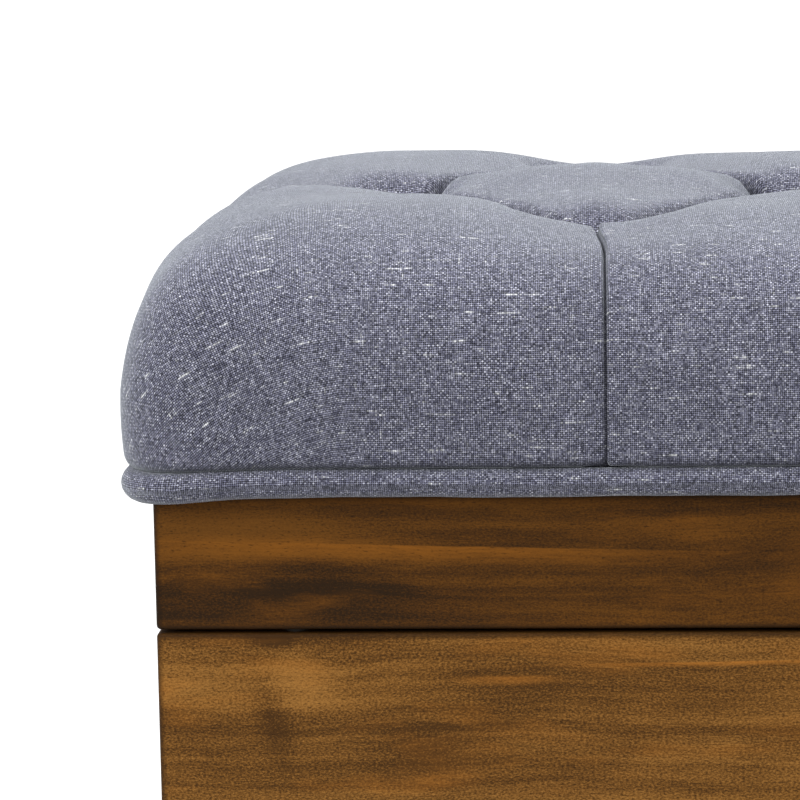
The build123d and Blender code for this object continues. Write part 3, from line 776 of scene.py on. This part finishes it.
def plain_wood(name, along):
    """Bare softwood of the inner frame."""
    s = Shader(name, 0.7)
    x, y, z = s.split(s.coordinates())
    u, w = ((x, y), (y, x), (z, x))[along]
    v = z if along < 2 else y
    rings = s.noise(s.stretched(u, v, w, (3.0, 120.0, 120.0)), 1.0, 4.0, 0.6, 0.8)
    grain = s.noise(s.stretched(u, v, w, (80.0, 1400.0, 1400.0)), 1.0, 3.0, 0.7)
    tone = s.add(s.times(rings, 0.8), s.times(grain, 0.2))
    s.colour(s.ramp(tone, [(0.32, (0.36, 0.20, 0.095)), (0.5, (0.56, 0.37, 0.20)),
                           (0.7, (0.69, 0.50, 0.30))]))
    s.set(Specular_IOR_Level=0.25)
    s.bump(grain, 0.3, 0.2 * MM)
    return s.material


def ply(name, low, layer):
    """Plywood: a pale veneer, and on its edges one stripe to each ply."""
    s = Shader(name, 0.65)
    x, y, z = s.split(s.coordinates())
    figure = s.noise(s.stretched(x, y, z, (5.0, 90.0, 40.0)), 1.0, 5.0, 0.6, 1.2)
    fibre = s.noise(s.stretched(x, y, z, (90.0, 1500.0, 1500.0)), 1.0, 3.0, 0.7)
    face = s.ramp(s.add(s.times(figure, 0.8), s.times(fibre, 0.2)),
                  [(0.3, (0.40, 0.24, 0.12)), (0.5, (0.60, 0.42, 0.24)), (0.72, (0.72, 0.55, 0.35))])
    stripe = s.math("PINGPONG", s.math("SUBTRACT", z, low), layer)
    edge = s.ramp(s.add(s.times(stripe, 0.8 / layer), s.times(fibre, 0.3)),
                  [(0.25, (0.24, 0.13, 0.06)), (0.5, (0.50, 0.33, 0.18)), (0.8, (0.66, 0.48, 0.29))])
    _, _, nz = s.split(s.coordinates("Normal"))
    s.colour(s.mix(s.between(s.math("ABSOLUTE", nz), 0.4, 0.6), edge, face))
    s.set(Specular_IOR_Level=0.3)
    s.bump(fibre, 0.25, 0.15 * MM)
    return s.material


# =====================================================================  metal, plastic and twine

def metal(name, dark, light, rough):
    """Metal with fine scratches and cloudy wear."""
    s = Shader(name, rough)
    lay = s.noise(s.coordinates(), 900.0, 4.0, 0.7)
    cloud = s.noise(s.coordinates(), 60.0, 3.0)
    s.colour(s.mix(s.between(cloud, 0.3, 0.7), dark, light))
    s.put(s.shader.inputs["Roughness"], s.between(lay, 0.2, 0.8, rough - 0.08, rough + 0.12))
    s.set(Metallic=1.0)
    s.bump(lay, 0.12, 0.05 * MM)
    return s.material


def moulded(name, dark, light, rough, grit=1800.0, strength=0.25):
    """Moulded plastic, rubber or foam, with a fine grit."""
    s = Shader(name, rough)
    grain = s.noise(s.coordinates(), grit, 3.0, 0.6)
    cloud = s.noise(s.coordinates(), 45.0, 3.0)
    s.colour(s.mix(s.between(s.add(s.times(cloud, 0.7), s.times(grain, 0.3)), 0.3, 0.7), dark, light))
    s.put(s.shader.inputs["Roughness"], s.between(grain, 0.2, 0.8, rough - 0.05, rough + 0.1))
    s.bump(grain, strength, 0.1 * MM)
    return s.material


def twisted(name):
    """Twine, with its strands laid at a slant."""
    s = Shader(name, 0.85)
    x, y, z = s.split(s.coordinates())
    lay = s.math("SINE", s.times(s.add(s.add(x, y), s.times(z, 1.6)), 5200.0))
    s.colour(s.ramp(s.between(lay, -1.0, 1.0), [(0.1, (0.22, 0.19, 0.15)), (0.8, (0.56, 0.51, 0.43))]))
    s.bump(lay, 0.5, 0.2 * MM)
    return s.material


# =====================================================================  materials on the carried-over parts

gap_level = rail_low[2]             # underside of the lid's rails
box_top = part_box("front_panel")[1][2]
left_end = rail_low[0]
APRON = {"dark": (0.027, 0.013, 0.0045), "middle": (0.082, 0.032, 0.0062), "light": (0.145, 0.056, 0.0085),
         "ember": (0.31, 0.110, 0.013), "speckle": 0.62, "rough": 0.46}
BASE = {"dark": (0.072, 0.031, 0.0080), "middle": (0.195, 0.084, 0.0175), "light": (0.340, 0.155, 0.035),
        "ember": (0.50, 0.185, 0.028), "speckle": 1.0, "rough": 0.5}
# a streak: its middle, its length, how it fades above and below, its slope and its strength
APRON_STREAKS = [((left_end + 0.108, gap_level + 0.0335), 0.085, 0.5 * MM, 9 * MM, 0.022, 0.85),
                 ((left_end + 0.020, gap_level + 0.036), 0.075, 4 * MM, 12 * MM, 0.0, 0.35)]
# a mark: its middle, its half sizes, its tilt, and how much lighter or darker it is
APRON_MARKS = [((left_end + 0.035, gap_level + 0.040), 0.045, 0.010, 0.0, 0.16),
               ((left_end + 0.080, gap_level + 0.014), 0.070, 0.011, 0.0, -0.15),
               ((left_end + 0.145, gap_level + 0.045), 0.035, 0.007, 0.0, 0.08)]
BASE_STREAKS = [((left_end + 0.225, box_top - 0.0115), 0.050, 0.6 * MM, 2.2 * MM, -0.018, 0.75),
                ((left_end + 0.140, box_top - 0.018), 0.016, 1.5 * MM, 4 * MM, 0.0, 0.6)]
BASE_MARKS = [((left_end + 0.055, box_top - 0.016), 0.016, 0.010, 0.3, 0.15),
              ((left_end + 0.047, box_top - 0.003), 0.007, 0.003, 0.0, -0.35),
              ((left_end + 0.046, box_top - 0.036), 0.007, 0.014, 1.2, -0.15),
              ((left_end + 0.105, box_top - 0.048), 0.022, 0.008, 0.0, -0.20)]

materials = {
    "plated_steel": metal("plated_steel", (0.42, 0.42, 0.41), (0.62, 0.62, 0.60), 0.32),
    "hinge_metal": metal("hinge_metal", (0.045, 0.038, 0.030), (0.085, 0.072, 0.058), 0.42),
    "glide_plastic": moulded("glide_plastic", (0.018, 0.018, 0.019), (0.035, 0.035, 0.036), 0.5),
    "bumper_rubber": moulded("bumper_rubber", (0.020, 0.016, 0.013), (0.040, 0.033, 0.028), 0.75),
    "washer_nylon": moulded("washer_nylon", (0.55, 0.54, 0.48), (0.72, 0.71, 0.66), 0.45),
    "foam": moulded("foam", (0.60, 0.54, 0.36), (0.78, 0.73, 0.55), 0.9, 900.0, 0.7),
    "twine": twisted("twine"),
    "lining_cloth": cambric(),
    "linen": linen(),
}
shown_wood = {}
for node, tones, name in (
        ("lid_front_rail", APRON, "lid_front_wood"), ("lid_back_rail", APRON, "lid_back_wood"),
        ("lid_left_rail", APRON, "lid_left_wood"), ("lid_right_rail", APRON, "lid_right_wood"),
        ("front_panel", BASE, "box_front_wood"), ("back_panel", BASE, "box_back_wood"),
        ("left_side_panel", BASE, "box_left_wood"), ("right_side_panel", BASE, "box_right_wood")):
    marks = {"lid_front_rail": APRON_MARKS, "front_panel": BASE_MARKS}.get(node, ())
    streaks = {"lid_front_rail": APRON_STREAKS, "front_panel": BASE_STREAKS}.get(node, ())
    shown_wood[node] = wood(name, node, **tones, marks=marks, streaks=streaks)
inner_woods = [plain_wood("inner_wood_" + axis, i) for i, axis in enumerate("xyz")]
plies = {"bottom_panel": ply("bottom_ply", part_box("bottom_panel")[0][2], 1.8 * MM),
         "seat_board": ply("board_ply", board_low[2], 2.4 * MM)}


def inner_wood_of(node):
    """The bare wood whose grain runs along the part's longest side."""
    low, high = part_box(node)
    size = [high[i] - low[i] for i in range(3)]
    return inner_woods[size.index(max(size))]


slots = {row["node"]: row["material_slot"] for row in frame["record"]["subparts"]}
for node, part in frame["nodes"].items():
    if node in shown_wood:
        material = shown_wood[node]
    elif node in plies:
        material = plies[node]
    elif slots[node] == "inner_wood":
        material = inner_wood_of(node)
    else:
        material = materials[slots[node]]
    part.data.materials.clear()
    part.data.materials.append(material)

cushion.data.materials.append(materials["linen"])


# =====================================================================  welt, buttons and lining

def build_welt():
    """Fabric-covered piping round the cushion's lower edge, a little uneven as it is sewn."""
    thick = (welt_high[2] - welt_low[2]) / 2
    level = (welt_high[2] + welt_low[2]) / 2
    centre_x, centre_y = welt_high[0] - thick, welt_high[1] - thick
    bend = 20 * MM
    line = []
    for sx, sy, start in ((1, -1, -90), (1, 1, 0), (-1, 1, 90), (-1, -1, 180)):
        for turn in np.linspace(start, start + 90, 25):
            line.append((sx * (centre_x - bend) + bend * math.cos(math.radians(turn)),
                         sy * (centre_y - bend) + bend * math.sin(math.radians(turn))))
    line.append(line[0])
    line = np.array(line)
    length = np.concatenate([[0], np.cumsum(np.hypot(*np.diff(line, axis=0).T))])
    count = 1500
    along = np.linspace(0, length[-1], count + 1)[:-1]
    px, py = np.interp(along, length, line[:, 0]), np.interp(along, length, line[:, 1])
    step_x, step_y = np.roll(px, -1) - np.roll(px, 1), np.roll(py, -1) - np.roll(py, 1)
    size = np.hypot(step_x, step_y)
    out_x, out_y = step_y / size, -step_x / size
    sides = 20
    verts, cloth = [], []
    for i in range(count):
        corner = float(corner_share(px[i], py[i]))
        push, droop = 0.8 * MM * corner, CORNER_DROOP * corner
        swell = 1 + 0.14 * corner + 0.02 * math.sin(along[i] * 70) + 0.015 * math.sin(along[i] * 173 + 1)
        sway = 0.25 * MM * math.sin(along[i] * 41 + 0.5)
        for k in range(sides):
            a = 2 * math.pi * k / sides
            r = (thick - 0.2 * MM) * swell
            reach = push + r * math.cos(a)
            z = level - droop + sway * 0.5 + r * math.sin(a)
            verts.append((px[i] + out_x[i] * reach, py[i] + out_y[i] * reach, z))
            cloth.append((along[i], 1.0 + r * a, 0.0))
    faces = []
    for i in range(count):
        j = (i + 1) % count
        for k in range(sides):
            m = (k + 1) % sides
            faces.append([i * sides + k, j * sides + k, j * sides + m, i * sides + m])
    piece = new_object("welt_cord", verts, faces)
    lay_out_cloth(piece, cloth)
    piece.data.materials.append(materials["linen"])
    return piece


def build_buttons():
    """Fabric-covered buttons, pulled down into the cushion."""
    low, high = button_low[2], button_top
    # the button's section: share of its radius, share of its height
    profile = [(0.0, 1.0), (0.25, 0.985), (0.5, 0.92), (0.72, 0.79), (0.88, 0.58),
               (0.97, 0.33), (1.0, 0.15), (0.97, 0.0), (0.6, 0.0), (0.0, 0.0)]
    sides = 28
    verts, faces, cloth = [], [], []
    for x, y in buttons:
        start = len(verts)
        for share, rise in profile[1:-1]:
            for k in range(sides):
                a = 2 * math.pi * k / sides
                r = share * (button_radius - 0.1 * MM)
                verts.append((x + r * math.cos(a), y + r * math.sin(a), low + (high - low) * rise))
                cloth.append((x + r * 1.3 * math.cos(a), y + r * 1.3 * math.sin(a), 0.0))
        rings = len(profile) - 2
        for i in range(rings - 1):
            for k in range(sides):
                m = (k + 1) % sides
                faces.append([start + i * sides + k, start + i * sides + m,
                              start + (i + 1) * sides + m, start + (i + 1) * sides + k])
        for ring, z in ((0, high), (rings - 1, low)):
            verts.append((x, y, z))
            cloth.append((x, y, 0.0))
            for k in range(sides):
                first = start + ring * sides
                faces.append([first + k, first + (k + 1) % sides, len(verts) - 1])
    piece = new_object("covered_buttons", verts, faces)
    lay_out_cloth(piece, cloth)
    piece.data.materials.append(materials["linen"])
    return piece


def build_lining():
    """The black cloth stapled under the lid: flat at its edges, hanging a little between them."""
    low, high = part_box("lid_lining")
    across, along = 90, 40
    verts, faces = [], []
    for side in (0, 1):
        for j in range(along + 1):
            for i in range(across + 1):
                u, v = i / across, j / along
                x = low[0] + (high[0] - low[0]) * u
                y = low[1] + (high[1] - low[1]) * v
                inner_u = min(max((u - 0.035) / 0.93, 0), 1)
                inner_v = min(max((v - 0.09) / 0.82, 0), 1)
                sag = 5 * MM * (math.sin(math.pi * inner_u) * math.sin(math.pi * inner_v)) ** 0.8
                ripple = (0.35 * MM * math.sin(40 * u + 3 * v)
                          * math.sin(math.pi * inner_v) * math.sin(math.pi * inner_u))
                z = (low[2], high[2])[side] - sag + ripple
                verts.append((x, y, z))
    row = across + 1
    layer = row * (along + 1)
    for j in range(along):
        for i in range(across):
            a = j * row + i
            quad = [a, a + 1, a + row + 1, a + row]
            faces.append(quad[::-1])
            faces.append([layer + k for k in quad])
    rim = ([i for i in range(across)] + [j * row + across for j in range(along)]
           + [along * row + i for i in range(across, 0, -1)] + [j * row for j in range(along, 0, -1)])
    for k, a in enumerate(rim):
        b = rim[(k + 1) % len(rim)]
        faces.append([a, b, layer + b, layer + a])
    piece = new_object("lid_lining_cloth", verts, faces)
    piece.data.materials.append(materials["lining_cloth"])
    return piece


welt = build_welt()
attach(welt, "lid")
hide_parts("welt")

covered_buttons = build_buttons()
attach(covered_buttons, "lid")
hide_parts("tuft_buttons")

lining = build_lining()
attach(lining, "lid")
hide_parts("lid_lining")


# =====================================================================  stage, light and camera

FLOOR_REACH = 300                   # metres, so far that its edge is never seen
CAMERA_PLACE = (-0.3636, -1.360, 0.5675)
CAMERA_TURN = (90 - 8.327, 0.9435, 3.504)  # degrees
LENS = 134.7


def stage_floor():
    """A pale floor that shines no light back on the object."""
    corners = [(x * FLOOR_REACH, y * FLOOR_REACH, 0) for x, y in ((-1, -1), (1, -1), (1, 1), (-1, 1))]
    floor = new_object("floor", corners, [[0, 1, 2, 3]], smooth=False)
    s = Shader("floor", 0.9)
    s.colour(s.mix(s.noise(s.coordinates(), 3.0), (0.93, 0.93, 0.93), (0.95, 0.95, 0.95)))
    floor.data.materials.append(s.material)
    floor.visible_diffuse = False


def area_light(name, place, target, size, power):
    lamp = bpy.data.lights.new(name, "AREA")
    lamp.shape = "RECTANGLE"
    lamp.size, lamp.size_y = size
    lamp.energy = power
    holder = bpy.data.objects.new(name, lamp)
    holder.location = place
    holder.rotation_euler = (Vector(target) - Vector(place)).to_track_quat("-Z", "Y").to_euler()
    bpy.context.scene.collection.objects.link(holder)


def build_camera():
    camera_data = bpy.data.cameras.new("camera")
    camera = bpy.data.objects.new("camera", camera_data)
    bpy.context.scene.collection.objects.link(camera)
    camera_data.sensor_width = 36
    camera_data.lens = LENS
    camera_data.clip_end = 1000
    camera.location = CAMERA_PLACE
    camera.rotation_euler = [math.radians(v) for v in CAMERA_TURN]
    bpy.context.scene.camera = camera


def sun_light(name, tilt, strength, spread):
    lamp = bpy.data.lights.new(name, "SUN")
    lamp.energy = strength
    lamp.angle = math.radians(spread)
    holder = bpy.data.objects.new(name, lamp)
    holder.rotation_euler = [math.radians(v) for v in tilt]
    bpy.context.scene.collection.objects.link(holder)


stage_floor()
sun_light("ceiling", (-12, 4, 0), 2.7, 80)
area_light("front_left", (-2.0, -2.4, 1.9), (-0.2, 0, 0.35), (1.8, 1.8), 50)
world = bpy.data.worlds.new("studio")
world.use_nodes = True
world.node_tree.nodes["Background"].inputs["Color"].default_value = (1, 1, 1, 1)
world.node_tree.nodes["Background"].inputs["Strength"].default_value = 0.5
bpy.context.scene.world = world
bpy.context.scene.view_settings.view_transform = "Standard"
build_camera()
